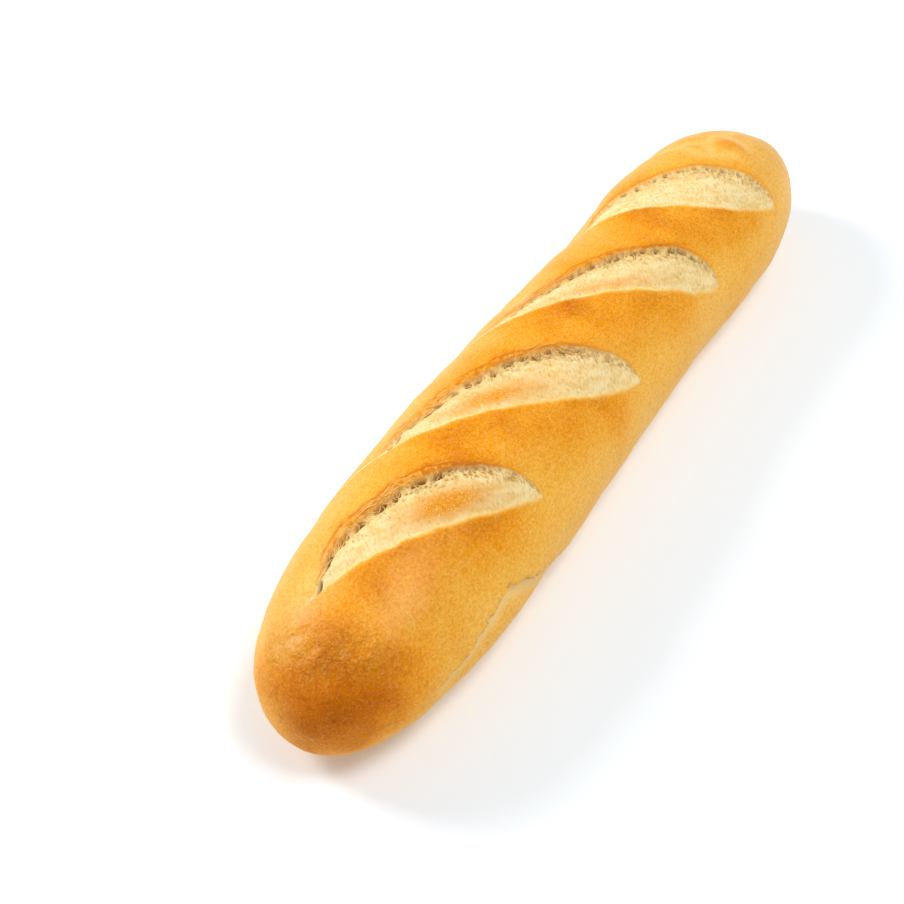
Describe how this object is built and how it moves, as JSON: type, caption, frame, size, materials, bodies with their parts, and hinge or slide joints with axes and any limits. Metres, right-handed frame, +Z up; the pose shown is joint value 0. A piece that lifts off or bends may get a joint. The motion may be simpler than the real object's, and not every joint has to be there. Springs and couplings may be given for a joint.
{
  "type": "baguette",
  "caption": "Small whole baguette with slanted slashes across its crown, a blunt rounded end and a slimmer end, resting on a flat base.",
  "frame": {"origin": "on the resting plane, under the middle of the loaf", "axes": "+X along the loaf from its blunt end to its slimmer end, +Z up, +Y to the side that the cut lips lean to"},
  "size_m": [0.3022, 0.0647, 0.0504],
  "materials": {
    "baked_crust": "golden baked bread crust with a soft sheen, pale open crumb in the slashes"
  },
  "bodies": {
    "root": {"loaf": "baked_crust"}
  },
  "joints": []
}
